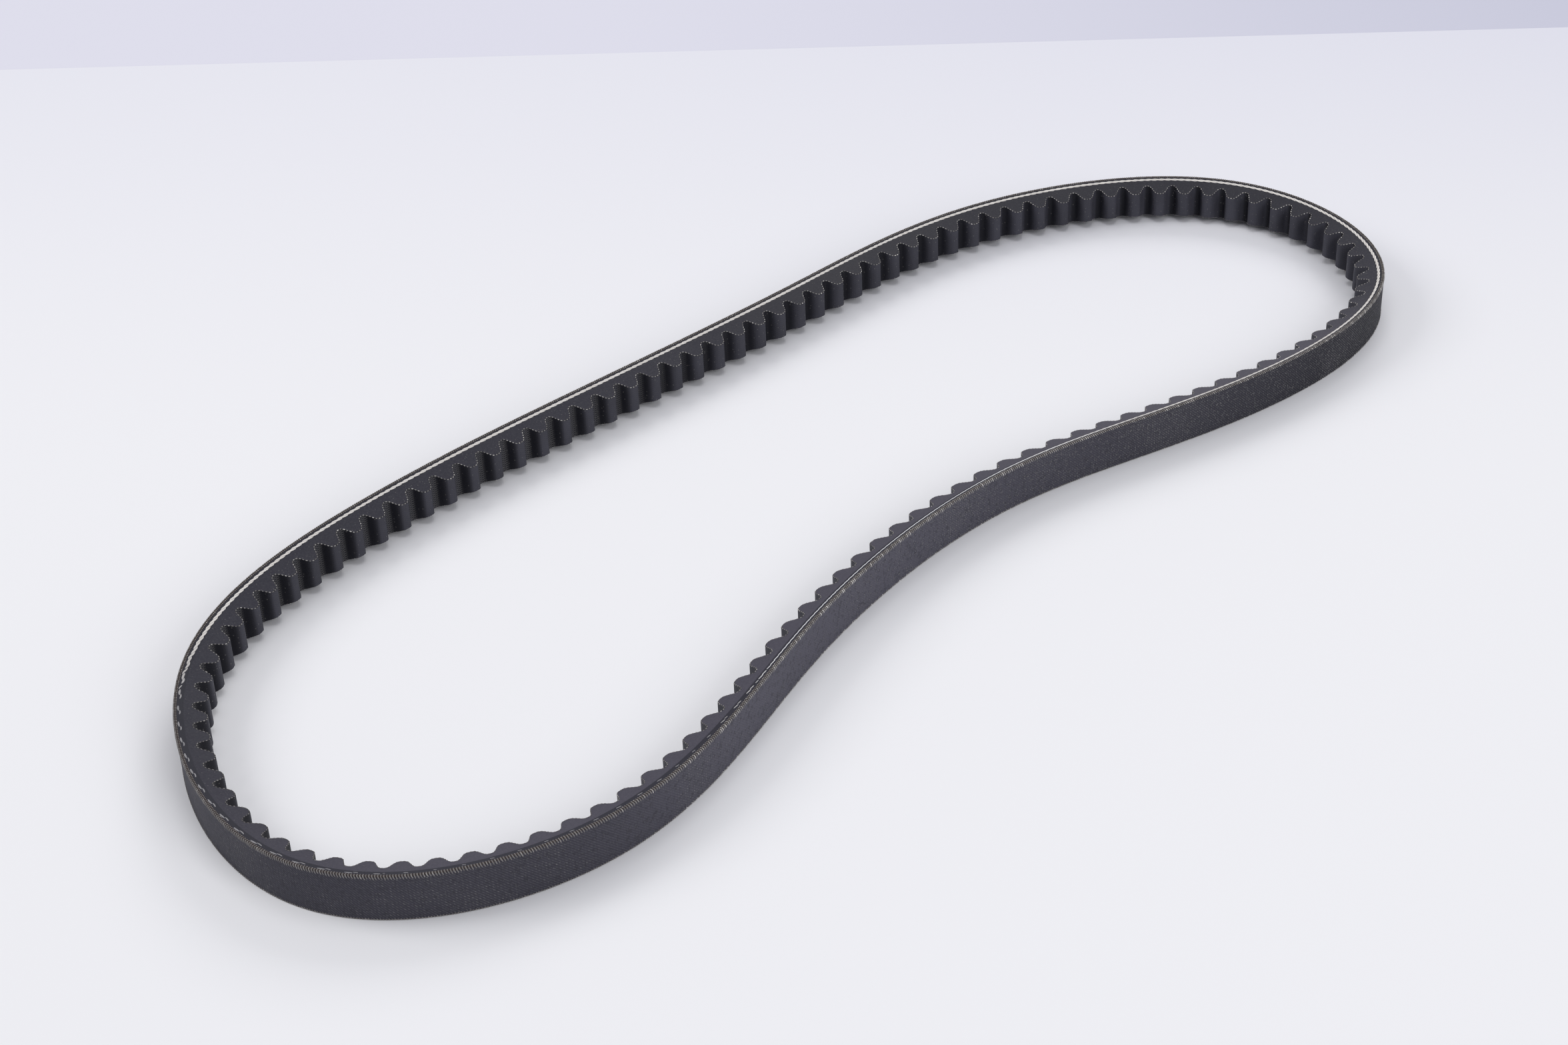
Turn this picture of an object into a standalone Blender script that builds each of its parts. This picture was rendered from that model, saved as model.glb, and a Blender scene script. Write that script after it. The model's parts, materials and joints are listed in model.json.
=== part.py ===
"""Cogged V-belt for an engine's fan drive, one moulded rubber loop lying on its side.

The belt stands on one edge, so its width runs up Z and its loop lies in the XY plane. The loop is a
smooth closed line at the depth of the tension cord, where the belt keeps its length when it bends.
Everything else is measured inwards from the back along the normal of that line, so the cogs close up
where the loop bends inwards and open where it bows the other way, as on the real belt.
"""

import math

import bpy
import numpy as np

for old in list(bpy.data.objects):
    bpy.data.objects.remove(old)

# Section of the belt, in metres. Depths run from the back towards the cogs.
TOP_WIDTH = 0.013
THICKNESS = 0.0080
WEDGE_ANGLE_DEG = 36.6
CORNER_RADIUS = 0.0003
CORD_DEPTH = 0.0016

# Cogs, moulded across the inner side.
COG_COUNT = 117
COG_PITCH = 0.00845
NOTCH_DEPTH = 0.0035
COG_FULLNESS = 0.14
WALL_STEEPNESS = 0.42
FIRST_NOTCH_SHARE = 0.21

# Plan of the loop, as the belt lies: points that the cord line passes through, in metres.
# The loop is scaled so that the cord line is as long as all the cogs together.
PLAN_POINTS = (
    (-0.1037, 0.0836),
    (-0.1786, 0.0572),
    (-0.2039, -0.0214),
    (-0.1417, -0.0620),
    (-0.0617, -0.0443),
    (0.0232, -0.0356),
    (0.0993, -0.0544),
    (0.1830, -0.0509),
    (0.2054, 0.0189),
    (0.1414, 0.0714),
    (0.0614, 0.0796),
    (-0.0217, 0.0829),
)

# Fineness of the mesh, per cog.
BACK_STEPS = 2
NOTCH_STEPS_PER_BACK_STEP = 6

RUBBER_COLOUR = (0.045, 0.045, 0.052, 1.0)
RUBBER_ROUGHNESS = 0.6


def closed_spline(points, samples):
    """Points along the smooth closed curve through the given ones, evenly spaced in its parameter."""
    knots = np.array(points)
    count = len(knots)
    ahead = np.roll(np.eye(count), 1, axis=1)
    behind = np.roll(np.eye(count), -1, axis=1)
    slopes = np.linalg.solve(4 * np.eye(count) + ahead + behind, 3 * (ahead - behind) @ knots)
    place = np.arange(samples) * count / samples
    first = place.astype(int)
    second = (first + 1) % count
    t = (place - first)[:, None]
    return (
        (2 * t**3 - 3 * t**2 + 1) * knots[first]
        + (t**3 - 2 * t**2 + t) * slopes[first]
        + (3 * t**2 - 2 * t**3) * knots[second]
        + (t**3 - t**2) * slopes[second]
    )


def cord_line():
    """The loop's cord line, closed and scaled to its length, with the length run at each point."""
    line = closed_spline(PLAN_POINTS, 6000)
    line = np.vstack([line, line[:1]])
    run = np.concatenate([[0.0], np.cumsum(np.linalg.norm(np.diff(line, axis=0), axis=1))])
    scale = COG_COUNT * COG_PITCH / run[-1]
    return line * scale, run * scale


CORD, CORD_RUN = cord_line()
LOOP_LENGTH = CORD_RUN[-1]


def on_cord(run):
    """Places on the cord line at these lengths along it."""
    wrapped = np.mod(run, LOOP_LENGTH)
    return np.stack([np.interp(wrapped, CORD_RUN, CORD[:, axis]) for axis in (0, 1)], axis=1)


def inward(run):
    """Directions from the back towards the cogs. The line runs anticlockwise, so they point to its left."""
    reach = 0.1 * COG_PITCH
    along = on_cord(run + reach) - on_cord(run - reach)
    along /= np.linalg.norm(along, axis=1)[:, None]
    return np.stack([-along[:, 1], along[:, 0]], axis=1)


def place(run, depth, height):
    """Points of the belt at these lengths along the loop, depths below the back and heights."""
    flat = on_cord(run) + inward(run) * (depth - CORD_DEPTH)[:, None]
    return np.column_stack([flat, height])


# The flanks close in from the back. Both back corners are worn round, and one short face of each
# corner lies square to the back, so that the belt stands on the lower one.
flank_slope = math.tan(math.radians(WEDGE_ANGLE_DEG / 2))
flank_tilt = math.degrees(math.atan(flank_slope))
corner_turns = (0.0, 0.5 * (90 - flank_tilt), 90 - flank_tilt, 90 + flank_tilt)
corner_depths = [CORNER_RADIUS * (1 - math.cos(math.radians(turn))) for turn in corner_turns]
corner_heights = [CORNER_RADIUS * (1 - math.sin(math.radians(turn))) for turn in corner_turns]
lowest = min(corner_heights)
corner_heights = [height - lowest for height in corner_heights]


def flank_height(depth):
    """Height of the lower flank at a depth below the back."""
    return corner_heights[-1] + (depth - corner_depths[-1]) * flank_slope


def cog_depth(phase):
    """Depth of the inner side at this share of a cog pitch, which is whole in the middle of a notch."""
    swing = -np.cos(2 * math.pi * phase)
    swing = swing + COG_FULLNESS * (1 - swing**2)
    swing = swing + WALL_STEEPNESS * (swing - swing**3)
    return THICKNESS - NOTCH_DEPTH * (1 - swing) / 2


back_count = COG_COUNT * BACK_STEPS
notch_count = back_count * NOTCH_STEPS_PER_BACK_STEP
back_run = (np.arange(back_count) / BACK_STEPS + FIRST_NOTCH_SHARE) * COG_PITCH
notch_phase = np.arange(notch_count) / (BACK_STEPS * NOTCH_STEPS_PER_BACK_STEP)
notch_run = (notch_phase + FIRST_NOTCH_SHARE) * COG_PITCH

# Rings round the back, from the edge of the lower flank up to the edge of the upper flank.
ring_depths = list(reversed(corner_depths)) + corner_depths
ring_heights = list(reversed(corner_heights)) + [TOP_WIDTH - height for height in corner_heights]
rings = []
for depth, height in zip(ring_depths, ring_heights):
    rings.append(place(back_run, np.full(back_count, depth), np.full(back_count, height)))

# Two rings along the cogs, where their wave meets the lower and the upper flank.
depths = cog_depth(notch_phase)
rings.append(place(notch_run, depths, flank_height(depths)))
rings.append(place(notch_run, depths, TOP_WIDTH - flank_height(depths)))

points = np.vstack(rings)
middle = (points.max(axis=0) + points.min(axis=0)) / 2
points[:, :2] -= middle[:2]

ring_total = len(ring_depths)
low_wave = ring_total * back_count
high_wave = low_wave + notch_count
faces = []
for step in range(back_count):
    following = (step + 1) % back_count
    for ring in range(ring_total - 1):
        here = ring * back_count
        above = here + back_count
        faces.append((here + step, here + following, above + following, above + step))
for step in range(notch_count):
    following = (step + 1) % notch_count
    faces.append((low_wave + following, low_wave + step, high_wave + step, high_wave + following))

# Each flank is a strip between the back's edge, with few points, and the wave, with many.
top_ring = (ring_total - 1) * back_count
half = NOTCH_STEPS_PER_BACK_STEP // 2
for step in range(back_count):
    following = (step + 1) % back_count
    first = step * NOTCH_STEPS_PER_BACK_STEP
    for part in range(NOTCH_STEPS_PER_BACK_STEP):
        near = first + part
        far = (near + 1) % notch_count
        edge = step if part < half else following
        faces.append((edge, low_wave + near, low_wave + far))
        faces.append((top_ring + edge, high_wave + far, high_wave + near))
    centre = first + half
    faces.append((following, step, low_wave + centre))
    faces.append((top_ring + step, top_ring + following, high_wave + centre))

mesh = bpy.data.meshes.new("fan_belt")
mesh.from_pydata([tuple(point) for point in points.tolist()], [], faces)
mesh.validate()
mesh.shade_smooth()
mesh.set_sharp_from_angle(angle=math.radians(40))

rubber = bpy.data.materials.new("belt_rubber")
rubber.use_nodes = True
shader = rubber.node_tree.nodes["Principled BSDF"]
shader.inputs["Base Color"].default_value = RUBBER_COLOUR
shader.inputs["Roughness"].default_value = RUBBER_ROUGHNESS
shader.inputs["Metallic"].default_value = 0.0
mesh.materials.append(rubber)

belt = bpy.data.objects.new("fan_belt", mesh)
bpy.context.scene.collection.objects.link(belt)
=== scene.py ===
"""A cogged fan belt lying on its edge on a white sheet, seen from above. Lengths are in metres."""

import json
import math

import bpy
import numpy as np
from mathutils import Matrix, Vector

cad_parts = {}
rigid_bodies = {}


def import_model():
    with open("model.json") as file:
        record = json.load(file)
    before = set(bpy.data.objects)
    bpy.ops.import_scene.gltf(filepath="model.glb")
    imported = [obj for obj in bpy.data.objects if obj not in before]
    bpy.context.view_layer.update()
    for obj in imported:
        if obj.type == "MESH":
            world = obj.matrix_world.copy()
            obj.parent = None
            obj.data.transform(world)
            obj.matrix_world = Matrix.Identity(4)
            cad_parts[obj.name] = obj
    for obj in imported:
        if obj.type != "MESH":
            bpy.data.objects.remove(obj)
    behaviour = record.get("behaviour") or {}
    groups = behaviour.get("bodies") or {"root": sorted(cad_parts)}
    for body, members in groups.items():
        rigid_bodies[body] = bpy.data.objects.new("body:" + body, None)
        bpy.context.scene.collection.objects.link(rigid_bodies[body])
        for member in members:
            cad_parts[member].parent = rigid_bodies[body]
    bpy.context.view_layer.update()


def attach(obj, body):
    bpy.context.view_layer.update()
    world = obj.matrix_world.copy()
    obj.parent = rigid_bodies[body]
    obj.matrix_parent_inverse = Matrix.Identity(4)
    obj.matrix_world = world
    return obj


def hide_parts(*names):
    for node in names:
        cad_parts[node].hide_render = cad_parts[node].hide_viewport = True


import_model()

for old in list(bpy.data.objects):
    if old.type in ("LIGHT", "CAMERA"):
        bpy.data.objects.remove(old)

# The camera
# It stands in front of the belt's left end and looks down across the whole loop, turned a little off
# level.

LENS_MM = 60.13
SENSOR_WIDTH_MM = 36.0
CAMERA_PLACE = (-0.44021, -0.43251, 0.39758)
LOOK_AZIMUTH_DEG = 45.5
LOOK_DOWN_DEG = 33.64
ROLL_DEG = -2.452

azimuth = math.radians(LOOK_AZIMUTH_DEG)
down = math.radians(LOOK_DOWN_DEG)
ahead = Vector((math.cos(down) * math.cos(azimuth), math.cos(down) * math.sin(azimuth), -math.sin(down)))
right = Vector((math.sin(azimuth), -math.cos(azimuth), 0))
upwards = right.cross(ahead)
level_view = Matrix((right, upwards, -ahead)).transposed()
turned_view = level_view @ Matrix.Rotation(math.radians(ROLL_DEG), 3, "Z")
camera_data = bpy.data.cameras.new("camera")
camera_data.lens = LENS_MM
camera_data.sensor_width = SENSOR_WIDTH_MM
camera = bpy.data.objects.new("camera", camera_data)
camera.matrix_world = Matrix.Translation(CAMERA_PLACE) @ turned_view.to_4x4()
bpy.context.scene.collection.objects.link(camera)
bpy.context.scene.camera = camera
bpy.context.scene.view_settings.view_transform = "Standard"

# The lamps and the room
# Two wide soft lamps stand behind the belt on either side, a third hangs over it and a fourth stands
# in front of it. A pale room fills the shadows from all round.

WARM_WHITE = (1.0, 0.99, 0.98)
PLAIN_WHITE = (1.0, 1.0, 1.0)
ROOM_COLOUR = (0.91, 0.91, 1.0, 1.0)
ROOM_STRENGTH = 0.30


def soft_lamp(name, place, width, watts, colour):
    """A square soft lamp that shines on the middle of the belt."""
    light = bpy.data.lights.new(name, "AREA")
    light.shape = "SQUARE"
    light.size = width
    light.energy = watts
    light.color = colour
    lamp = bpy.data.objects.new(name, light)
    lamp.location = place
    lamp.rotation_euler = (-Vector(place)).to_track_quat("-Z", "Y").to_euler()
    bpy.context.scene.collection.objects.link(lamp)


soft_lamp("back_left_lamp", place=(-1.0, 1.3, 1.2), width=1.0, watts=12.8, colour=WARM_WHITE)
soft_lamp("back_right_lamp", place=(1.6, 0.8, 1.2), width=1.0, watts=12.8, colour=WARM_WHITE)
soft_lamp("overhead_lamp", place=(0.0, 0.0, 1.7), width=1.2, watts=6.7, colour=PLAIN_WHITE)
soft_lamp("front_lamp", place=(-0.15, -1.6, 0.95), width=1.0, watts=11.7, colour=PLAIN_WHITE)

room = bpy.data.worlds.new("pale_room")
bpy.context.scene.world = room
room.use_nodes = True
room.node_tree.nodes["Background"].inputs["Color"].default_value = ROOM_COLOUR
room.node_tree.nodes["Background"].inputs["Strength"].default_value = ROOM_STRENGTH

# The white sheet
# A wide sheet of white card lies under the belt, and its straight far edge ends on a violet table. Both
# are plain matt ground with painted shade in their colour: they turn a little darker towards the far
# right, and the sheet also further from the camera, where the lamps light them less.

SHEET_SIZE = 6.0
SHEET_THICKNESS = 0.0005
SHEET_EDGE_START = (0.005, 0.435)
SHEET_EDGE_END = (0.410, 0.005)
SHEET_WHITE = (0.905, 0.91, 0.93, 1.0)
SHEET_PAINTED_SHADE = (0.785, 0.79, 0.87, 1.0)
SHEET_SHADE_BEYOND = (-0.02, 0.42)
SHEET_SHADE_RIGHTWARDS = (-0.3, 0.6)
SHEET_SHADE_LEFT = 0.75
SHEET_SHADE_GROWTH = 0.5
TABLE_VIOLET = (0.77, 0.77, 0.86, 1.0)
TABLE_PAINTED_SHADE = (0.58, 0.59, 0.71, 1.0)
TABLE_SHADE_RIGHTWARDS = (-0.2, 0.7)
GROUND_ROUGHNESS = 0.9
GROUND_SHINE = 0.1


class Value:
    """A value that a node gives. A formula written with it adds the Math nodes that work it out."""

    def __init__(self, wiring, socket):
        self.wiring = wiring
        self.socket = socket

    def math(self, operation, *values):
        return self.wiring.node("ShaderNodeMath", {"operation": operation}, values)

    def __add__(self, other):
        return self.math("ADD", self, other)

    def __radd__(self, other):
        return self.math("ADD", other, self)

    def __sub__(self, other):
        return self.math("SUBTRACT", self, other)

    def __rsub__(self, other):
        return self.math("SUBTRACT", other, self)

    def __mul__(self, other):
        return self.math("MULTIPLY", self, other)

    def __rmul__(self, other):
        return self.math("MULTIPLY", other, self)

    def __truediv__(self, other):
        return self.math("DIVIDE", self, other)

    def __neg__(self):
        return self.math("MULTIPLY", self, -1.0)

    def above(self, other):
        return self.math("GREATER_THAN", self, other)

    def below(self, other):
        return self.math("LESS_THAN", self, other)

    def near(self, other):
        """Is 1 where the two are the same to a thousandth of a millimetre, and 0 elsewhere."""
        return (self - other).unsigned().below(1e-6)

    def least(self, other):
        return self.math("MINIMUM", self, other)

    def most(self, other):
        return self.math("MAXIMUM", self, other)

    def unsigned(self):
        return self.math("ABSOLUTE", self)

    def root(self):
        return self.math("SQRT", self)

    def sine(self):
        return self.math("SINE", self)

    def cosine(self):
        return self.math("COSINE", self)

    def rise(self, low, high):
        """Goes smoothly from 0 to 1 as this one goes from low to high."""
        settings = {"interpolation_type": "SMOOTHSTEP"}
        return self.wiring.node("ShaderNodeMapRange", settings, (self, low, high, 0.0, 1.0))

    def fall(self, low, high):
        """Goes smoothly from 1 to 0 as this one goes from low to high."""
        return 1 - self.rise(low, high)

    def within(self, starts, full, leaves, gone):
        """Rises to 1 between the first two of four values, and falls to 0 between the last two."""
        return self.rise(starts, full) * self.fall(leaves, gone)


class Wiring:
    """A node tree being put together."""

    def __init__(self, tree):
        self.tree = tree

    def node(self, kind, settings=None, values=(), output=0):
        """Adds a node, sets it, and gives its sockets values or links, in order or by name."""
        made = self.tree.nodes.new(kind)
        for name, setting in (settings or {}).items():
            setattr(made, name, setting)
        places = values.items() if isinstance(values, dict) else enumerate(values)
        for place, value in places:
            if isinstance(value, Value):
                self.tree.links.new(value.socket, made.inputs[place])
            else:
                made.inputs[place].default_value = value
        return Value(self, made.outputs[output])

    def connect(self, value, socket):
        self.tree.links.new(value.socket, socket)

    def vector(self, x, y, z):
        return self.node("ShaderNodeCombineXYZ", None, (x, y, z))

    def parts(self, vector):
        """The three parts of a vector."""
        first = self.node("ShaderNodeSeparateXYZ", None, (vector,))
        return [Value(self, output) for output in first.socket.node.outputs]

    def mix(self, factor, first, second):
        """A colour between two others. The node's colours are its sockets 6 and 7, and its output 2."""
        return self.node("ShaderNodeMix", {"data_type": "RGBA"}, {0: factor, 6: first, 7: second}, 2)

    def object_place(self):
        return self.node("ShaderNodeTexCoord", None, (), "Object")


def new_material(name, shine):
    """A material, with its wiring and the sockets of its shader, ready to be filled in."""
    material = bpy.data.materials.new(name)
    material.use_nodes = True
    shader = material.node_tree.nodes["Principled BSDF"]
    shader.inputs["Specular IOR Level"].default_value = shine
    return material, Wiring(material.node_tree), shader.inputs


edge_start = Vector((*SHEET_EDGE_START, 0))
edge_end = Vector((*SHEET_EDGE_END, 0))
edge_along = (edge_end - edge_start).normalized()
towards_camera = Vector((-edge_along.y, edge_along.x, 0))
if towards_camera.dot(Vector(CAMERA_PLACE) - edge_start) < 0:
    towards_camera = -towards_camera


def ground(name, corner, along, across, height, material):
    """A flat rectangle of ground at this height."""
    corners = [corner, corner + along, corner + along + across, corner + across]
    mesh = bpy.data.meshes.new(name)
    mesh.from_pydata([(point.x, point.y, height) for point in corners], [], [(0, 1, 2, 3)])
    if mesh.polygons[0].normal.z < 0:
        mesh.flip_normals()
    mesh.materials.append(material)
    piece = bpy.data.objects.new(name, mesh)
    bpy.context.scene.collection.objects.link(piece)


card, wiring, sockets = new_material("white_card", GROUND_SHINE)
x, y = wiring.parts(wiring.object_place())[:2]
beyond = x * -towards_camera.x + y * -towards_camera.y
# Painted shade: the sheet turns darker further from the camera and towards the far right.
growth = SHEET_SHADE_LEFT + SHEET_SHADE_GROWTH * (x - y).rise(*SHEET_SHADE_RIGHTWARDS)
shaded = beyond.rise(*SHEET_SHADE_BEYOND) * growth
wiring.connect(wiring.mix(shaded, SHEET_WHITE, SHEET_PAINTED_SHADE), sockets["Base Color"])
sockets["Roughness"].default_value = GROUND_ROUGHNESS
ground_length = edge_along * 2 * SHEET_SIZE
sheet_corner = edge_start - edge_along * SHEET_SIZE
ground("sheet", sheet_corner, ground_length, towards_camera * SHEET_SIZE, 0.0, card)

painted, wiring, sockets = new_material("table_paint", GROUND_SHINE)
x, y = wiring.parts(wiring.object_place())[:2]
# Painted shade: the table turns darker towards the far right.
shaded = (x - y).rise(*TABLE_SHADE_RIGHTWARDS)
wiring.connect(wiring.mix(shaded, TABLE_VIOLET, TABLE_PAINTED_SHADE), sockets["Base Color"])
sockets["Roughness"].default_value = GROUND_ROUGHNESS
table_corner = sheet_corner - towards_camera * SHEET_SIZE
table_reach = towards_camera * 2 * SHEET_SIZE
ground("table", table_corner, ground_length, table_reach, -SHEET_THICKNESS, painted)

# The belt
# One moulded loop of black rubber, cut to a wedge on both flanks, with fabric bonded to its back and
# over its cogs. It lies on its edge in a long loop whose front side bows inwards. Depths are measured
# from the back, and the loop keeps its length along the cord inside it.

TOP_WIDTH = 0.013
THICKNESS = 0.0080
WEDGE_ANGLE_DEG = 36.6
CORNER_RADIUS = 0.0003
EDGE_RADIUS = 0.0001
CORD_DEPTH = 0.0016
COG_COUNT = 117
COG_PITCH = 0.00845
NOTCH_DEPTH = 0.0035
COG_FULLNESS = 0.14
WALL_STEEPNESS = 0.42
FIRST_NOTCH_SHARE = 0.21
STEPS_PER_COG = 24
BACK_ROUNDING_STEPS = 6
COG_ROUNDING_STEPS = 2
BACK_CUTS = 3
RIM_SHARE = 0.85
BACK_FABRIC_SHARE = 0.985
COG_FABRIC_BEND = 0.3

PLAN_POINTS = (
    (-0.1037, 0.0836),
    (-0.1786, 0.0572),
    (-0.2039, -0.0214),
    (-0.1417, -0.0620),
    (-0.0617, -0.0443),
    (0.0232, -0.0356),
    (0.0993, -0.0544),
    (0.1830, -0.0509),
    (0.2054, 0.0189),
    (0.1414, 0.0714),
    (0.0614, 0.0796),
    (-0.0217, 0.0829),
)
STEPS_PER_SPAN = 500
GUIDE_RESOLUTION = 256
FULL_TURN = 2 * math.pi

BELT_SIZES = {
    "Cogs": COG_COUNT,
    "Cog pitch": COG_PITCH,
    "Steps per cog": STEPS_PER_COG,
    "First notch share": FIRST_NOTCH_SHARE,
    "Notch depth": NOTCH_DEPTH,
    "Cog fullness": COG_FULLNESS,
    "Wall steepness": WALL_STEEPNESS,
    "Thickness": THICKNESS,
    "Top width": TOP_WIDTH,
    "Flank slope": math.tan(math.radians(WEDGE_ANGLE_DEG / 2)),
    "Cord depth": CORD_DEPTH,
    "Corner radius": CORNER_RADIUS,
    "Edge radius": EDGE_RADIUS,
}

knots = np.array(PLAN_POINTS)
knot_count = len(knots)
knot_after = np.roll(np.eye(knot_count), 1, axis=1)
knot_before = np.roll(np.eye(knot_count), -1, axis=1)
slope_rule = 4 * np.eye(knot_count) + knot_after + knot_before
slopes = np.linalg.solve(slope_rule, 3 * (knot_after - knot_before) @ knots)

t = np.linspace(0, 1, STEPS_PER_SPAN, endpoint=False)[:, None]
spans = []
for number in range(knot_count):
    following = (number + 1) % knot_count
    spans.append(
        (2 * t**3 - 3 * t**2 + 1) * knots[number]
        + (t**3 - 2 * t**2 + t) * slopes[number]
        + (3 * t**2 - 2 * t**3) * knots[following]
        + (t**3 - t**2) * slopes[following]
    )
drawn = np.vstack(spans)
drawn_length = np.linalg.norm(np.roll(drawn, -1, axis=0) - drawn, axis=1).sum()
plan_scale = COG_COUNT * COG_PITCH / drawn_length
drawn *= plan_scale
onwards = np.roll(drawn, -1, axis=0) - np.roll(drawn, 1, axis=0)
onwards /= np.linalg.norm(onwards, axis=1)[:, None]
outer_line = drawn + np.stack([onwards[:, 1], -onwards[:, 0]], axis=1) * CORD_DEPTH
middle = (outer_line.max(axis=0) + outer_line.min(axis=0)) / 2


def cord_line(name):
    """A guide: the closed curve of the cord, as an object that a node tree can follow."""
    curve = bpy.data.curves.new(name, "CURVE")
    curve.dimensions = "3D"
    curve.resolution_u = GUIDE_RESOLUTION
    spline = curve.splines.new("BEZIER")
    spline.bezier_points.add(knot_count - 1)
    spline.use_cyclic_u = True
    for point, knot, slope in zip(spline.bezier_points, knots * plan_scale - middle, slopes * plan_scale):
        point.handle_left_type = "FREE"
        point.handle_right_type = "FREE"
        point.co = (*knot, 0)
        point.handle_left = (*(knot - slope / 3), 0)
        point.handle_right = (*(knot + slope / 3), 0)
    guide = bpy.data.objects.new(name, curve)
    bpy.context.scene.collection.objects.link(guide)
    return guide


def new_tree(name, sizes):
    """An empty geometry tree with one named input for each size, and what comes in through them."""
    tree = bpy.data.node_groups.new(name, "GeometryNodeTree")
    tree.interface.new_socket("Geometry", in_out="INPUT", socket_type="NodeSocketGeometry")
    for size, value in sizes.items():
        kind = "NodeSocketInt" if isinstance(value, int) else "NodeSocketFloat"
        tree.interface.new_socket(size, in_out="INPUT", socket_type=kind)
    tree.interface.new_socket("Geometry", in_out="OUTPUT", socket_type="NodeSocketGeometry")
    wiring = Wiring(tree)
    entry = tree.nodes.new("NodeGroupInput")
    given = {socket.name: Value(wiring, socket) for socket in entry.outputs if socket.name}
    return wiring, given


def made_piece(name, wiring, result, sizes):
    """Runs a finished tree along the cord line and gives its result as a plain object."""
    leaving = wiring.tree.nodes.new("NodeGroupOutput")
    wiring.connect(result, leaving.inputs[0])
    guide = cord_line(name + "_guide")
    modifier = guide.modifiers.new("make", "NODES")
    modifier.node_group = wiring.tree
    for item in wiring.tree.interface.items_tree:
        if item.in_out == "INPUT" and item.name in sizes:
            modifier[item.identifier] = sizes[item.name]
    graph = bpy.context.evaluated_depsgraph_get()
    mesh = bpy.data.meshes.new_from_object(guide.evaluated_get(graph), depsgraph=graph)
    mesh.name = name
    bpy.data.objects.remove(guide)
    piece = bpy.data.objects.new(name, mesh)
    bpy.context.scene.collection.objects.link(piece)
    return piece


def store(wiring, geometry, name, value, kind="FLOAT", domain="POINT"):
    """The same geometry, with a value kept on it under this name."""
    settings = {"data_type": kind, "domain": domain}
    values = {"Geometry": geometry, "Name": name, "Value": value}
    return wiring.node("GeometryNodeStoreNamedAttribute", settings, values)


def stored(wiring, name, kind="FLOAT"):
    """A value that was kept on the geometry under this name."""
    return wiring.node("GeometryNodeInputNamedAttribute", {"data_type": kind}, {"Name": name})


def cog_depth(phase, size):
    """Depth of the inner side at this share of a pitch, which is whole in the middle of a notch."""
    swing = -(phase * FULL_TURN).cosine()
    fuller = swing + size["Cog fullness"] * (1 - swing * swing)
    steeper = fuller + size["Wall steepness"] * (fuller - fuller * fuller * fuller)
    return size["Thickness"] - size["Notch depth"] * (1 - steeper) / 2


def marked_line(wiring, size, steps):
    """The cord line in this many steps, each point with its run, phase, place and way inwards."""
    values = {"Curve": size["Geometry"], "Count": steps}
    line = wiring.node("GeometryNodeResampleCurve", {"mode": "COUNT"}, values)
    run = wiring.node("GeometryNodeSplineParameter") * (size["Cogs"] * size["Cog pitch"])
    line = store(wiring, line, "run", run)
    phase = stored(wiring, "run") / size["Cog pitch"] - size["First notch share"]
    line = store(wiring, line, "phase", phase)
    x, y = wiring.parts(wiring.node("GeometryNodeInputTangent"))[:2]
    line = store(wiring, line, "inwards", wiring.vector(-y, x, 0.0), "FLOAT_VECTOR")
    return store(wiring, line, "spot", wiring.node("GeometryNodeInputPosition"), "FLOAT_VECTOR")


def added(wiring, first, second):
    """The sum of two vectors."""
    return wiring.node("ShaderNodeVectorMath", {"operation": "ADD"}, (first, second))


def stretched(wiring, vector, amount):
    """A vector made longer by this amount."""
    values = {"Vector": vector, "Scale": amount}
    return wiring.node("ShaderNodeVectorMath", {"operation": "SCALE"}, values)


def placed(wiring, size, depth, height):
    """The place in the belt at this depth and height, beside the point of the line."""
    across = stretched(wiring, stored(wiring, "inwards", "FLOAT_VECTOR"), depth - size["Cord depth"])
    sideways = added(wiring, stored(wiring, "spot", "FLOAT_VECTOR"), across)
    return added(wiring, sideways, wiring.vector(0.0, 0.0, height))


def moved(wiring, geometry, place):
    """The same geometry, with its points at these places."""
    return wiring.node("GeometryNodeSetPosition", None, {"Geometry": geometry, "Position": place})


def half_height(size, depth):
    """Half the belt's width at this depth, before its corners are rounded."""
    slope = size["Flank slope"]
    overhang = size["Corner radius"] * (slope + (slope * slope + 1).root() - 1)
    return size["Top width"] / 2 + overhang - depth * slope


# The line that the loop is swept along follows the wave of the cogs. A point's run is the length along
# the cord, and its wrap is the length along the wave.
wiring, size = new_tree("belt_loop", BELT_SIZES)
line = marked_line(wiring, size, size["Cogs"] * size["Steps per cog"])
wave = cog_depth(stored(wiring, "phase"), size)
line = store(wiring, line, "wave", wave)
line = moved(wiring, line, placed(wiring, size, stored(wiring, "wave"), 0.0))
line = store(wiring, line, "wrap", wiring.node("GeometryNodeSplineParameter", None, (), "Length"))

# The section has two corners on the back, well rounded, and two at the cogs, hardly rounded. Its long
# sides are cut, so that the smooth shading stops at the ends of the roundings.
slope = size["Flank slope"]
slant = (slope * slope + 1).root()
half_back = half_height(size, 0.0)
half_front = half_height(size, size["Thickness"])
outline = wiring.node(
    "GeometryNodeCurvePrimitiveQuadrilateral",
    {"mode": "POINTS"},
    {
        "Point 1": wiring.vector(0.0, -half_back, 0.0),
        "Point 2": wiring.vector(0.0, half_back, 0.0),
        "Point 3": wiring.vector(size["Thickness"], half_front, 0.0),
        "Point 4": wiring.vector(size["Thickness"], -half_front, 0.0),
    },
)
on_back = wiring.node("GeometryNodeInputIndex").below(1.5)
rounding_steps = on_back * (BACK_ROUNDING_STEPS - COG_ROUNDING_STEPS) + COG_ROUNDING_STEPS
rounding = on_back * size["Corner radius"] + (1 - on_back) * size["Edge radius"]
values = {"Curve": outline, "Count": rounding_steps, "Radius": rounding}
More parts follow.
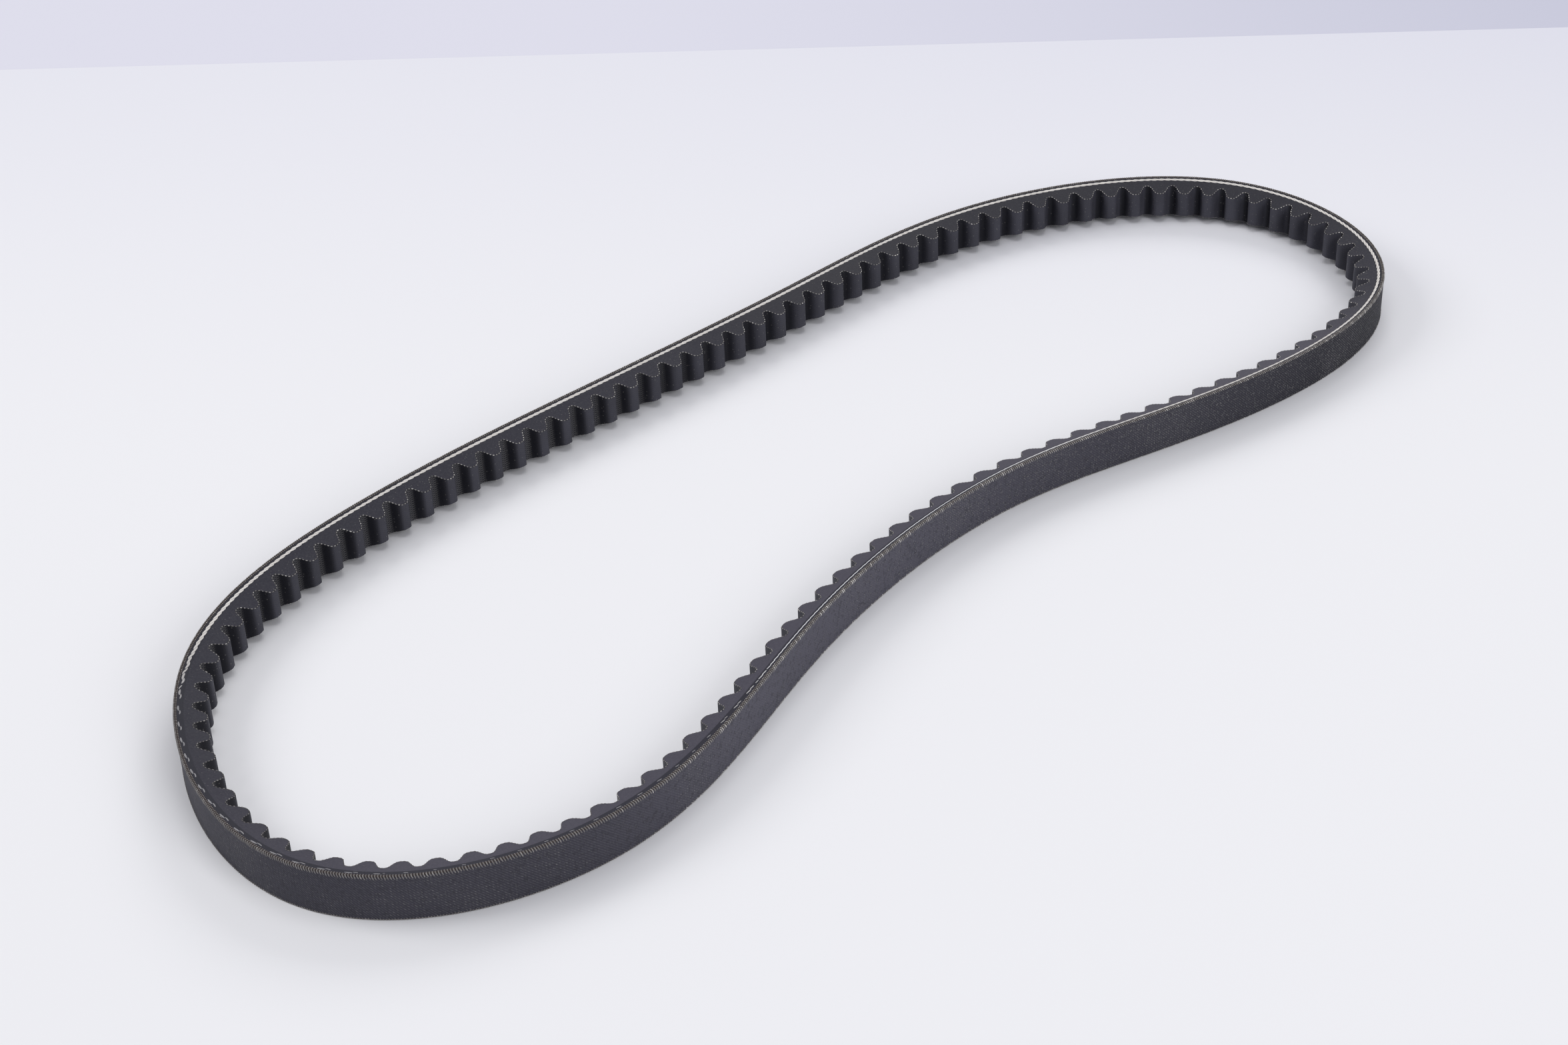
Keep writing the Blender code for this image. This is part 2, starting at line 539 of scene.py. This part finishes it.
rounded = wiring.node("GeometryNodeFilletCurve", {"mode": "POLY"}, values)
corner_end = size["Corner radius"] * (slope / slant + 1)
edge_begin = size["Thickness"] - size["Edge radius"] * (1 - slope / slant)
level, beside = wiring.parts(wiring.node("GeometryNodeInputPosition"))[:2]
upper = beside.above(0.0)
starts_back = level.near(0.0) * (1 - upper)
starts_upper_flank = level.near(corner_end) * upper
starts_front = level.near(size["Thickness"]) * upper
starts_lower_flank = level.near(edge_begin) * (1 - upper)
cuts = starts_back * BACK_CUTS + starts_upper_flank + starts_front + starts_lower_flank
section = wiring.node("GeometryNodeSubdivideCurve", None, {"Curve": rounded, "Cuts": cuts})
section = store(wiring, section, "level", level)
section = store(wiring, section, "beside", beside)
ends_of_back = level.near(0.0) + level.near(corner_end)
ends_of_front = level.near(edge_begin) + level.near(size["Thickness"])
on_rim = beside.unsigned().above(RIM_SHARE * half_height(size, level))
section = store(wiring, section, "crease", (ends_of_back + ends_of_front).above(0.5) * on_rim)
loop = wiring.node("GeometryNodeCurveToMesh", None, {"Curve": line, "Profile Curve": section})

# The cogs: the inner part of the section reaches as deep as the wave does there.
level = stored(wiring, "level")
reach = (stored(wiring, "wave") - corner_end) / (size["Thickness"] - corner_end)
depth = level.least(corner_end) + (level - corner_end).most(0.0) * reach
narrowing = half_height(size, depth) / half_height(size, level)
loop = store(wiring, loop, "depth", depth)
loop = store(wiring, loop, "height", size["Top width"] / 2 + stored(wiring, "beside") * narrowing)
loop = moved(wiring, loop, placed(wiring, size, stored(wiring, "depth"), stored(wiring, "height")))

# Across the seam of the loop, the lengths run on instead of dropping back to nothing.
cord_length = size["Cogs"] * size["Cog pitch"]
wave_length = wiring.node("GeometryNodeCurveLength", None, (line,))
for name, whole in (("run", cord_length), ("wrap", wave_length)):
    over_face = wiring.node("GeometryNodeFieldOnDomain", {"domain": "FACE"}, (stored(wiring, name),))
    behind = (over_face - stored(wiring, name)).above(whole / 4)
    loop = store(wiring, loop, name + "_on", stored(wiring, name) + behind * whole, domain="CORNER")

creased = stored(wiring, "crease").above(0.9)
values = {"Geometry": loop, "Selection": creased, "Shade Smooth": False}
loop = wiring.node("GeometryNodeSetShadeSmooth", {"domain": "EDGE"}, values)


def read(paint, name):
    """A value that a piece's mesh carries under this name."""
    return paint.node("ShaderNodeAttribute", {"attribute_name": name}, (), "Fac")


def noise(paint, place, scale, detail=2.0, roughness=0.5):
    """Cloudy noise, between 0 and 1."""
    values = {"Vector": place, "Scale": scale, "Detail": detail, "Roughness": roughness}
    return paint.node("ShaderNodeTexNoise", None, values)


def specks(paint, place, scale, width, share):
    """Is near 1 in small round specks, which lie in this share of the cells of a random grid."""
    cell = {"Vector": place, "Scale": scale}
    distance = paint.node("ShaderNodeTexVoronoi", None, cell, "Distance")
    pick = paint.parts(paint.node("ShaderNodeTexVoronoi", None, cell, "Color"))[0]
    return distance.fall(0.5 * width, width) * pick.below(share)


def layered(paint, colour, layers):
    """A colour under layers of paint. Each has where it lies, how strongly it covers, and its colour."""
    for where, strength, tone in layers:
        colour = paint.mix(where * strength, colour, tone)
    return colour


def finish_paint(paint, sockets, colour, roughness, relief, strength, relief_height):
    """Feeds a material's colour, roughness and relief to its shader."""
    paint.connect(colour, sockets["Base Color"])
    paint.connect(roughness, sockets["Roughness"])
    values = {"Strength": strength, "Distance": relief_height, "Height": relief}
    paint.connect(paint.node("ShaderNodeBump", None, values), sockets["Normal"])


# The cut rubber of both flanks. From the left end along the front it is painted paler, partly dust and
# partly painted sheen, and round the right end it is painted darker as shade. Four cog numbers give each
# stretch: where it starts, is full, starts to leave and is gone. Four depths give the layer round the
# cord in the same way, and two give where an outer layer ends.
RUBBER_DARK = (0.0124, 0.0121, 0.0220, 1.0)
RUBBER_LIGHT = (0.0200, 0.0195, 0.0330, 1.0)
RUBBER_GRAIN = (0.040, 0.040, 0.051, 1.0)
FIBRE_END = (0.20, 0.19, 0.18, 1.0)
FLANK_DUST_AND_SHEEN = (0.084, 0.079, 0.104, 1.0)
FLANK_PAINTED_SHADE = (0.006, 0.006, 0.010, 1.0)
CORD_GUM = (0.010, 0.0105, 0.019, 1.0)
BACK_PLIES = (0.040, 0.030, 0.026, 1.0)
COG_COVER = (0.0085, 0.0080, 0.0095, 1.0)
DUST_AND_SHEEN_COGS = (12.0, 25.0, 62.0, 68.0)
FLANK_SHADE_COGS = (68.0, 76.0, 97.0, 105.0)
GUM_DEPTHS = (0.00066, 0.00078, 0.00225, 0.00245)
PLIES_END = (0.00074, 0.00084)
COVER_END = (0.00026, 0.00036)

rubber, paint, sockets = new_material("cut_rubber", shine=0.3)
place = paint.object_place()
run, depth, wave = read(paint, "run_on"), read(paint, "depth"), read(paint, "wave")
clouds = noise(paint, place, scale=60.0, detail=3.0)
grain = noise(paint, place, scale=1800.0, detail=3.0, roughness=0.6)
fibre_ends = specks(paint, place, scale=1500.0, width=0.30, share=0.35) * grain.rise(0.4, 0.6)
# Paler along the front: partly dust, partly painted sheen. Darker round the right end: painted shade.
dust_and_sheen = (run / COG_PITCH).within(*DUST_AND_SHEEN_COGS) * (0.45 + 0.6 * grain)
flank_shade = (run / COG_PITCH).within(*FLANK_SHADE_COGS)
gum = depth.within(*GUM_DEPTHS)
plies = depth.fall(*PLIES_END)
cover = (wave - depth).fall(*COVER_END)
layers = (
    (grain.rise(0.35, 0.75), 0.5, RUBBER_GRAIN),
    (fibre_ends, 0.32, FIBRE_END),
    (dust_and_sheen, 1.0, FLANK_DUST_AND_SHEEN),
    (flank_shade, 0.4, FLANK_PAINTED_SHADE),
    (gum, 0.8, CORD_GUM),
    (plies, 0.9, BACK_PLIES),
    (cover, 0.8, COG_COVER),
)
colour = layered(paint, paint.mix(clouds, RUBBER_DARK, RUBBER_LIGHT), layers)
roughness = 0.52 + clouds * 0.16 + plies * 0.2
scored = noise(paint, paint.vector(run * 120.0, depth * 5000.0, 0.0), scale=1.0)
relief = grain * 0.6 + scored * 0.4 + fibre_ends * 0.6
finish_paint(paint, sockets, colour, roughness, relief, strength=0.45, relief_height=0.00005)

# The woven fabric on the back. Its diagonal ribs are crisp and black at the right end, which is also
# painted darker as shade, and worn flat and grey in the left half of the loop, where a paler patch along
# the front is partly wear and partly painted light.
YARN_ROUND = 0.000826
YARN_UP = 0.00079
RUBBED_VALLEY = (0.052, 0.050, 0.068, 1.0)
CRISP_VALLEY = (0.009, 0.009, 0.016, 1.0)
RUBBED_CREST = (0.070, 0.068, 0.088, 1.0)
CRISP_CREST = (0.032, 0.032, 0.038, 1.0)
CREST_STREAK = (0.15, 0.147, 0.142, 1.0)
RUBBED_AND_LIT_GREY = (0.108, 0.104, 0.134, 1.0)
PATCH_GREY = (0.085, 0.083, 0.095, 1.0)
FINE_SHADE = (0.026, 0.025, 0.033, 1.0)
RIGHT_END_PAINTED_SHADE = (0.010, 0.010, 0.016, 1.0)
LINT = (0.27, 0.268, 0.262, 1.0)
CRISP_FROM_X = (0.05, 0.17)
RUBBED_AND_LIT_X = (-0.17, -0.09, -0.04, 0.08)
PAINTED_SHADE_FROM_X = (0.10, 0.18)
FLECKS_FROM_X = (-0.09, 0.0)

back_fabric, paint, sockets = new_material("back_fabric", shine=0.3)
place = paint.object_place()
x = paint.parts(place)[0]
run, height = read(paint, "run_on"), read(paint, "height")
belt_length = COG_COUNT * COG_PITCH
yarns_round = round(belt_length / YARN_ROUND)
waver = noise(paint, place, scale=130.0) * 0.3
along = run * (yarns_round / belt_length) + waver
rib = along + height / YARN_UP
ribs = (rib * FULL_TURN).cosine()
cells = (along * FULL_TURN).cosine() + (height * (FULL_TURN / YARN_UP)).cosine()
dashes = noise(paint, paint.vector(rib * 1.2, (along * 2 - rib) * 0.5, 0.0), scale=1.0, roughness=0.6)
patches = noise(paint, place, scale=34.0, detail=4.0, roughness=0.6)
fine = noise(paint, place, scale=900.0, detail=3.0, roughness=0.6)
crisp = 0.3 + 0.7 * x.rise(*CRISP_FROM_X)
# A paler patch along the front: partly wear, partly painted light.
rubbed_and_lit = x.within(*RUBBED_AND_LIT_X)
crests = (ribs + cells * 0.2).rise(-0.9, 1.2)
smears = 0.4 + 0.8 * patches.rise(0.40, 0.68)
streaks = (ribs + cells * 0.25).rise(0.0, 1.2) * dashes.rise(0.36, 0.68) * crisp * smears
lint = dashes.rise(0.45, 0.70) * (ribs + cells * 0.45).rise(0.5, 1.7) * patches.rise(0.42, 0.62)
flecks = specks(paint, place, scale=2100.0, width=0.48, share=0.5) * fine.rise(0.35, 0.6)
flecks = flecks * (0.3 + 0.7 * x.rise(*FLECKS_FROM_X))
valley = paint.mix(crisp, RUBBED_VALLEY, CRISP_VALLEY)
crest = paint.mix(crisp, RUBBED_CREST, CRISP_CREST)
layers = (
    (streaks, 0.85, CREST_STREAK),
    (rubbed_and_lit, 0.7, RUBBED_AND_LIT_GREY),
    (patches.rise(0.45, 0.75), 0.35, PATCH_GREY),
    (fine.rise(0.45, 0.7), 0.5, FINE_SHADE),
    # Painted shade darkens the right end.
    (x.rise(*PAINTED_SHADE_FROM_X), 0.35, RIGHT_END_PAINTED_SHADE),
    ((lint * 0.55 + flecks * 0.42).least(0.8), 1.0, LINT),
)
colour = layered(paint, paint.mix(crests, valley, crest), layers)
roughness = 0.66 + patches * 0.14
relief = ribs * crisp * 0.8 + fine * 0.6 + lint * 0.5
finish_paint(paint, sockets, colour, roughness, relief, strength=0.6, relief_height=0.00006)

# The knitted fabric over the cogs. Its knit shows at the notches in the left half of the loop, and the
# notches are painted black inside as shade.
YARN_SPACING = 0.00092
KNIT_ROWS_PER_YARN = 0.75
KNIT_LENGTH = YARN_SPACING / KNIT_ROWS_PER_YARN
KNIT_HEIGHT = 0.00068
COG_FABRIC_DARK = (0.038, 0.038, 0.050, 1.0)
COG_FABRIC_LIGHT = (0.052, 0.052, 0.068, 1.0)
KNIT_GAP = (0.016, 0.016, 0.022, 1.0)
KNIT_YARN = (0.110, 0.108, 0.108, 1.0)
NOTCH_PAINTED_SHADE = (0.0040, 0.0042, 0.0080, 1.0)
COG_DUST = (0.28, 0.27, 0.25, 1.0)
LEFT_HALF_X = (-0.05, 0.05)
KNIT_TURN = -0.05
NOTCH_TURN = 0.5
NOTCH_TURN_ON_LEFT = 0.60

cog_fabric, paint, sockets = new_material("cog_fabric", shine=0.25)
place = paint.object_place()
x = paint.parts(place)[0]
run, wrap, height = read(paint, "run_on"), read(paint, "wrap_on"), read(paint, "height")
along_turn = wrap * (FULL_TURN / KNIT_LENGTH)
upwards_turn = height * (FULL_TURN / KNIT_HEIGHT)
knit = (along_turn + upwards_turn).sine().most((along_turn - upwards_turn).sine())
cog_turn = run * (FULL_TURN / COG_PITCH) - FULL_TURN * FIRST_NOTCH_SHARE
on_left = x.fall(*LEFT_HALF_X)
shows_knit = (cog_turn + KNIT_TURN).cosine().rise(0.40, 0.80) * on_left
# Painted shade: the notches are darkened almost to black, where little light reaches.
notch_shade = (cog_turn + NOTCH_TURN + NOTCH_TURN_ON_LEFT * on_left).cosine().rise(0.25, 1.0)
patches = noise(paint, place, scale=60.0, detail=4.0, roughness=0.6)
dust = specks(paint, place, scale=1200.0, width=0.28, share=0.25)
smooth = paint.mix(patches.rise(0.3, 0.7), COG_FABRIC_DARK, COG_FABRIC_LIGHT)
knitted = paint.mix(knit.rise(0.1, 1.0), KNIT_GAP, KNIT_YARN)
layers = (
    (knit.rise(0.4, 1.0), 0.1, knitted),
    (notch_shade, 0.93, NOTCH_PAINTED_SHADE),
    (shows_knit, 0.6, knitted),
    (dust, 0.22, COG_DUST),
)
colour = layered(paint, smooth, layers)
roughness = 0.55 + patches * 0.16
relief = knit * (0.3 + 0.7 * shows_knit)
finish_paint(paint, sockets, colour, roughness, relief, strength=0.5, relief_height=0.00006)

level = stored(wiring, "level")
on_back = level.below(1e-6) * stored(wiring, "beside").unsigned().below(half_back * BACK_FABRIC_SHARE)
on_front = level.above(size["Thickness"] - size["Edge radius"] * COG_FABRIC_BEND)
loop = wiring.node("GeometryNodeSetMaterial", None, {"Geometry": loop, "Material": rubber})
for material, chosen in ((back_fabric, on_back), (cog_fabric, on_front)):
    values = {"Geometry": loop, "Selection": chosen, "Material": material}
    loop = wiring.node("GeometryNodeSetMaterial", None, values)
loop = wiring.node("GeometryNodeRealizeInstances", None, {"Geometry": loop})
belt = made_piece("belt_loop", wiring, loop, BELT_SIZES)
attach(belt, "root")
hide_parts("fan_belt")

# The tension cord
# A cord of three twisted polyester strands runs round the belt under its back. The flanks were cut
# through its outer turns, so it shows on both as a row of long flat leaves. Round the left end it lies
# deeper and shows as broken dashes, and along the left half of the front it is worn smooth.

CORD_SIZES = {
    "Strands": 3,
    "Twists": 153,
    "Steps per twist": 16,
    "Strand sides": 10,
    "Strand radius": 0.00032,
    "Strand offset": 0.00020,
    "Smooth flattening": 0.6,
    "Sink": 0.00022,
    "Smooth sink": 0.00012,
    "Dash sink": 0.00014,
    "Faint sink": 0.00010,
    "Dash dip": 0.00009,
    "Plain shift": 0.00010,
    "Dash shift": 0.00036,
    "Dash slant": 0.00028,
    "Drift": 0.0002,
    "Smooth steadying": 0.7,
    "Cut level": 0.00004,
    "Cut roundness": 0.12,
}
DRIFT_SCALE = 22.0
WORN_SMOOTH_COGS = (33.0, 38.0, 46.0, 57.0)
BROKEN_COGS = (7.0, 12.0, 32.0, 38.0)
FAINT_COGS = (20.0, 24.0, 34.0, 40.0)
FIBRE_CREAM = (0.66, 0.62, 0.57, 1.0)
FIBRE_PALE = (0.84, 0.82, 0.79, 1.0)
FIBRE_STAIN = (0.40, 0.36, 0.31, 1.0)
STRAND_GAP_SHADE = (0.20, 0.19, 0.20, 1.0)
WORN_WHITE = (0.78, 0.81, 0.86, 1.0)
BROKEN_GREY = (0.17, 0.17, 0.19, 1.0)

cord_fibre, paint, sockets = new_material("cord_fibre", shine=0.5)
blotches = noise(paint, paint.object_place(), scale=220.0, detail=3.0)
run, turn, strand = read(paint, "run"), read(paint, "turn"), read(paint, "strand")
hair_place = paint.vector(run * 900.0, turn * 22.0, strand * 7.0)
hairs = noise(paint, hair_place, scale=1.0, detail=3.0, roughness=0.6)
# Painted shade darkens the grooves between the strands.
layers = (
    (hairs.rise(0.5, 0.8), 0.35, FIBRE_STAIN),
    (read(paint, "ridge").fall(0.35, 0.55), 0.35, STRAND_GAP_SHADE),
    (read(paint, "worn_smooth"), 0.7, WORN_WHITE),
    (read(paint, "broken"), 0.85, BROKEN_GREY),
)
colour = layered(paint, paint.mix(blotches, FIBRE_CREAM, FIBRE_PALE), layers)
finish_paint(paint, sockets, colour, 0.5 + blotches * 0.2, hairs, strength=0.4, relief_height=0.00003)

FLANKS = (("upper", 1.0), ("lower", -1.0))
for side, sign in FLANKS:
    all_sizes = {**BELT_SIZES, **CORD_SIZES}
    wiring, size = new_tree(side + "_tension_cord", all_sizes)
    line = marked_line(wiring, size, size["Twists"] * size["Steps per twist"])
    around = wiring.node("GeometryNodeSplineParameter") * size["Twists"] * FULL_TURN
    line = store(wiring, line, "around", around)
    drift = noise(wiring, stored(wiring, "spot", "FLOAT_VECTOR"), DRIFT_SCALE, detail=1.0)
    line = store(wiring, line, "drift", drift)

    # One ring for each strand. The strands are twisted round each other below.
    values = {"Resolution": size["Strand sides"], "Radius": 1.0}
    ring = wiring.node("GeometryNodeCurvePrimitiveCircle", None, values)
    ring = store(wiring, ring, "turn", wiring.node("GeometryNodeSplineParameter"))
    values = {"Geometry": ring, "Amount": size["Strands"]}
    rings = wiring.node("GeometryNodeDuplicateElements", {"domain": "SPLINE"}, values)
    number = Value(wiring, rings.socket.node.outputs["Duplicate Index"])
    rings = store(wiring, rings, "strand", number / size["Strands"])
    rope = wiring.node("GeometryNodeCurveToMesh", None, {"Curve": line, "Profile Curve": rings})
    strand_turn = stored(wiring, "around") + stored(wiring, "strand") * FULL_TURN
    own_turn = stored(wiring, "turn") * (-FULL_TURN * sign)
    cog = stored(wiring, "run") / size["Cog pitch"]
    worn_smooth = cog.within(*WORN_SMOOTH_COGS)
    broken = cog.within(*BROKEN_COGS)
    faint = cog.within(*FAINT_COGS)
    offset = size["Strand offset"] * (1 - size["Smooth flattening"] * worn_smooth)
    along_flank = offset * strand_turn.cosine() + size["Strand radius"] * own_turn.cosine()
    off_flank = offset * strand_turn.sine() + size["Strand radius"] * own_turn.sine()

    # How deep the cord lies in the flank, and the cut that takes off what stands out of it.
    sink = size["Sink"] + worn_smooth * size["Smooth sink"]
    sink = sink + broken * (size["Dash sink"] + faint * size["Faint sink"])
    dips = broken * size["Dash dip"] * (1 - stored(wiring, "around").cosine())
    steadier = 1 - size["Smooth steadying"] * worn_smooth
    drifting = (stored(wiring, "drift") - 0.5) * size["Drift"] * steadier
    off_flank = off_flank - sink - dips - drifting
    above_cut = (off_flank - size["Cut level"]).most(0.0)
    off_flank = off_flank.least(size["Cut level"]) + above_cut * size["Cut roundness"]
    rope = store(wiring, rope, "broken", broken)
    rope = store(wiring, rope, "worn_smooth", worn_smooth)
    rope = store(wiring, rope, "nearer", broken * (1 - faint))
    rope = store(wiring, rope, "rise", off_flank)
    rope = store(wiring, rope, "ridge", (own_turn - strand_turn).cosine())

    # Where the cord lies on the flank: the dashes shift towards the back and lean.
    slope = size["Flank slope"]
    slant = (slope * slope + 1).root()
    shift = size["Dash shift"] - size["Dash slant"] * stored(wiring, "around").sine()
    plain = 1 - (stored(wiring, "worn_smooth") + stored(wiring, "broken")).least(1.0)
    centre_depth = size["Cord depth"] + plain * size["Plain shift"] - stored(wiring, "nearer") * shift
    depth = centre_depth + (along_flank + stored(wiring, "rise") * slope) / slant
    height = half_height(size, centre_depth) + (stored(wiring, "rise") - along_flank * slope) / slant
    rope = moved(wiring, rope, placed(wiring, size, depth, size["Top width"] / 2 + height * sign))
    rope = wiring.node("GeometryNodeSetMaterial", None, {"Geometry": rope, "Material": cord_fibre})
    rope = wiring.node("GeometryNodeRealizeInstances", None, {"Geometry": rope})
    cord = made_piece(side + "_tension_cord", wiring, rope, all_sizes)
    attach(cord, "root")

# The threads at the back's edges
# Two plies of woven cotton cover the back. Where the flanks were cut, the ends of their threads stick
# out: those of the outer ply bend over the corner, and those of the inner ply end just below it. They
# are short at the lower edge, where the belt lies on them, and on the right half of the front.

THREAD_RADIUS = 0.00017
THREAD_SIZES = {
    "Threads": 1498,
    "Thread sides": 5,
    "Thread radius": THREAD_RADIUS,
    "Thread length": 0.00095,
    "Thread lean": 0.00035,
    "Root sink": 0.15,
    "Bend bulge": 0.5,
    "Bend rise": 0.00012,
    "Tip reach": 1.6,
    "Tip drop": 0.3,
    "Rim height": TOP_WIDTH,
    "Trimming": 0.5,
    "Inner ply depth": 0.00060,
}
LOWER_THREAD_SIZES = {
    "Thread length": 0.00030,
    "Rim height": 1.15 * THREAD_RADIUS,
}
TRIMMED_COGS = (49.0, 54.0, 62.0, 67.0)
TAPER = (-0.6, 0.4)
THREAD_LENGTHS = (0.8, 1.1)
THREAD_WIDTHS = (0.85, 1.15)
DOT_SHAPE = (1.1, 0.95, 0.45)
WIDTH_SEED = 1
LENGTH_SEED = 3
THREAD_SHADE_SEED = 4
DOT_SHADE_SEED = 5
THREAD_DARK = (0.20, 0.19, 0.185, 1.0)
THREAD_LIGHT = (0.38, 0.37, 0.355, 1.0)
THREAD_BRIGHT = (0.72, 0.70, 0.67, 1.0)
THREAD_DIRTY = (0.15, 0.14, 0.14, 1.0)
THREAD_FUZZ = (0.12, 0.105, 0.095, 1.0)
DIRTY_UP_TO_X = (-0.17, -0.08)
DIRTY_UP_TO_Y = (0.02, 0.09)

thread, paint, sockets = new_material("thread_ends", shine=0.5)
place = paint.object_place()
x, y = paint.parts(place)[:2]
shade = read(paint, "shade")
dirty = x.fall(*DIRTY_UP_TO_X) * y.fall(*DIRTY_UP_TO_Y)
fuzz = noise(paint, place, scale=4000.0, detail=3.0, roughness=0.6)
layers = (
    (shade.rise(0.80, 1.0), 1.0, THREAD_BRIGHT),
    (dirty, 0.7, THREAD_DIRTY),
    (fuzz.rise(0.4, 0.7), 0.5, THREAD_FUZZ),
)
colour = layered(paint, paint.mix(shade.rise(0.0, 0.8), THREAD_DARK, THREAD_LIGHT), layers)
paint.connect(colour, sockets["Base Color"])
paint.connect(0.6 + fuzz * 0.2, sockets["Roughness"])


def chance(wiring, low, high, seed):
    """A random number for each thread. The node's sockets 2, 3 and 8 are the range and the seed."""
    return wiring.node("FunctionNodeRandomValue", {"data_type": "FLOAT"}, {2: low, 3: high, 8: seed}, 1)


def set_along(wiring, line, shape, upright, turned, scale, seed):
    """Copies of a shape on every point of a line, turned to it, each with a shade of its own."""
    axes = {"primary_axis": "Z", "secondary_axis": "X"}
    facing = wiring.node("FunctionNodeAxesToRotation", axes, (upright, turned))
    values = {"Points": line, "Instance": shape, "Rotation": facing, "Scale": scale}
    copies = wiring.node("GeometryNodeInstanceOnPoints", None, values)
    copies = store(wiring, copies, "shade", chance(wiring, 0.0, 1.0, seed), domain="INSTANCE")
    return wiring.node("GeometryNodeRealizeInstances", None, {"Geometry": copies})


for side, sign in FLANKS:
    all_sizes = {**BELT_SIZES, **THREAD_SIZES}
    if side == "lower":
        all_sizes.update(LOWER_THREAD_SIZES)
    wiring, size = new_tree(side + "_edge_threads", all_sizes)
    line = marked_line(wiring, size, size["Threads"])
    x, y = wiring.parts(stored(wiring, "inwards", "FLOAT_VECTOR"))[:2]
    onwards = wiring.vector(y, -x, 0.0)
    straight_up = wiring.vector(0.0, 0.0, 1.0)

    # One bar for the outer ply: it comes up the back, bends over the corner and ends on the flank.
    radius = size["Thread radius"]
    lean = size["Thread lean"] * sign
    start = wiring.vector(lean, radius * size["Root sink"], -size["Thread length"] * sign)
    bend = wiring.vector(0.0, -radius * size["Bend bulge"], size["Bend rise"] * sign)
    finish = wiring.vector(0.0, radius * size["Tip reach"], -radius * size["Tip drop"] * sign)
    arc = {"Resolution": size["Thread sides"], "Start": start, "Middle": bend, "End": finish}
    bar_line = wiring.node("GeometryNodeCurveQuadraticBezier", None, arc)
    bar_radius = radius * wiring.node("GeometryNodeSplineParameter").rise(*TAPER)
    values = {"Resolution": size["Thread sides"], "Radius": 1.0}
    round_profile = wiring.node("GeometryNodeCurvePrimitiveCircle", None, values)
    values = {"Curve": bar_line, "Profile Curve": round_profile, "Scale": bar_radius, "Fill Caps": True}
    bar = wiring.node("GeometryNodeCurveToMesh", None, values)

    rim = moved(wiring, line, placed(wiring, size, 0.0, size["Rim height"]))
    trimmed = (stored(wiring, "run") / size["Cog pitch"]).within(*TRIMMED_COGS)
    length_change = chance(wiring, *THREAD_LENGTHS, LENGTH_SEED) * (1 - size["Trimming"] * trimmed)
    size_change = wiring.vector(chance(wiring, *THREAD_WIDTHS, WIDTH_SEED), 1.0, length_change)
    bars = set_along(wiring, rim, bar, straight_up, onwards, size_change, THREAD_SHADE_SEED)

    # One dot for the inner ply, on the flank below each bar.
    below = size["Inner ply depth"]
    row_height = size["Top width"] / 2 + sign * half_height(size, below)
    row = moved(wiring, line, placed(wiring, size, below, row_height))
    dot = wiring.node("GeometryNodeMeshIcoSphere", None, {"Radius": radius, "Subdivisions": 1})
    dots = set_along(wiring, row, dot, straight_up, onwards, wiring.vector(*DOT_SHAPE), DOT_SHADE_SEED)
    both = wiring.tree.nodes.new("GeometryNodeJoinGeometry")
    wiring.connect(bars, both.inputs[0])
    wiring.connect(dots, both.inputs[0])
    values = {"Geometry": Value(wiring, both.outputs[0]), "Material": thread}
    both = wiring.node("GeometryNodeSetMaterial", None, values)
    threads = made_piece(side + "_edge_threads", wiring, both, all_sizes)
    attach(threads, "root")

# The stitches along the cogs
# The fabric over the cogs is cut off level with both flanks, and the end of each of its yarns shows
# there as a pale dot, a little inside the wave of the cogs.

YARN_SIZES = {
    "Line steps per cog": 40,
    "Yarn spacing": YARN_SPACING,
    "Yarn radius": 0.00020,
    "Yarn inset": 0.00014,
}
YARN_LENGTHS = (1.1, 1.9)
YARN_WIDTHS = (0.5, 0.95)
YARN_FLATNESS = 0.5
YARN_LENGTH_SEED = 6
YARN_WIDTH_SEED = 7
YARN_SHADE_SEED = 8

for side, sign in FLANKS:
    all_sizes = {**BELT_SIZES, **YARN_SIZES}
    wiring, size = new_tree(side + "_cog_yarns", all_sizes)
    line = marked_line(wiring, size, size["Cogs"] * size["Line steps per cog"])
    depth = cog_depth(stored(wiring, "phase"), size) - size["Yarn inset"]
    line = store(wiring, line, "wave", depth)
    height = size["Top width"] / 2 + sign * half_height(size, stored(wiring, "wave"))
    line = moved(wiring, line, placed(wiring, size, stored(wiring, "wave"), height))
    whole = wiring.node("GeometryNodeCurveLength", None, (line,))
    values = {"Curve": line, "Count": whole / size["Yarn spacing"]}
    line = wiring.node("GeometryNodeResampleCurve", {"mode": "COUNT"}, values)
    across = stretched(wiring, stored(wiring, "inwards", "FLOAT_VECTOR"), size["Flank slope"])
    outwards = added(wiring, across, wiring.vector(0.0, 0.0, sign))
    tangent = wiring.node("GeometryNodeInputTangent")
    values = {"Radius": size["Yarn radius"], "Subdivisions": 1}
    dot = wiring.node("GeometryNodeMeshIcoSphere", None, values)
    yarn_length = chance(wiring, *YARN_LENGTHS, YARN_LENGTH_SEED)
    yarn_width = chance(wiring, *YARN_WIDTHS, YARN_WIDTH_SEED)
    change = wiring.vector(yarn_length, yarn_width, YARN_FLATNESS)
    dots = set_along(wiring, line, dot, outwards, tangent, change, YARN_SHADE_SEED)
    dots = wiring.node("GeometryNodeSetMaterial", None, {"Geometry": dots, "Material": thread})
    yarns = made_piece(side + "_cog_yarns", wiring, dots, all_sizes)
    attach(yarns, "root")
